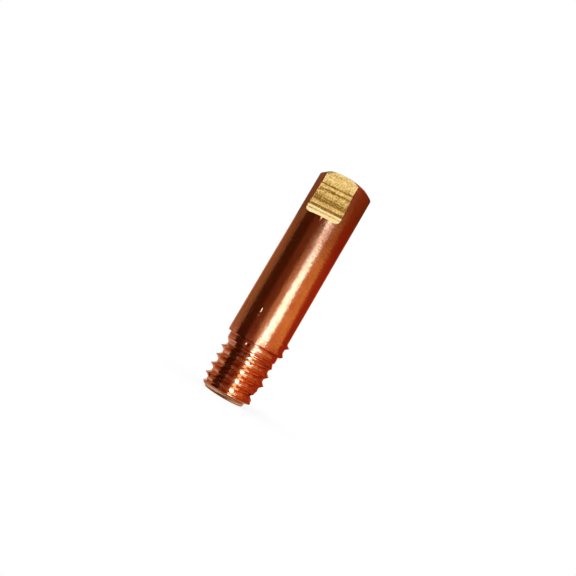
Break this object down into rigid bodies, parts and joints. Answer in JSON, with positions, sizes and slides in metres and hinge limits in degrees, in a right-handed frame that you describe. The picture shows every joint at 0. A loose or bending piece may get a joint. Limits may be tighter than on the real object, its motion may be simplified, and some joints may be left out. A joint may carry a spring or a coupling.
{
  "type": "welding contact tip",
  "caption": "Copper contact tip for a wire-feed welding torch: plain round body, threaded rear end, two wrench flats at a bevelled nose and a fine wire bore along the axis.",
  "frame": {"origin": "on the body's axis at the flat rear end face, on which the tip stands", "axes": "+Z along the wire bore from the threaded rear end to the nose, and the wrench flats face -Y and +Y"},
  "size_m": [0.0063, 0.006, 0.025],
  "materials": {
    "copper": "drawn and tumbled copper, satin, with freshly milled flats"
  },
  "bodies": {
    "root": {"contact_tip": "copper"}
  },
  "joints": []
}
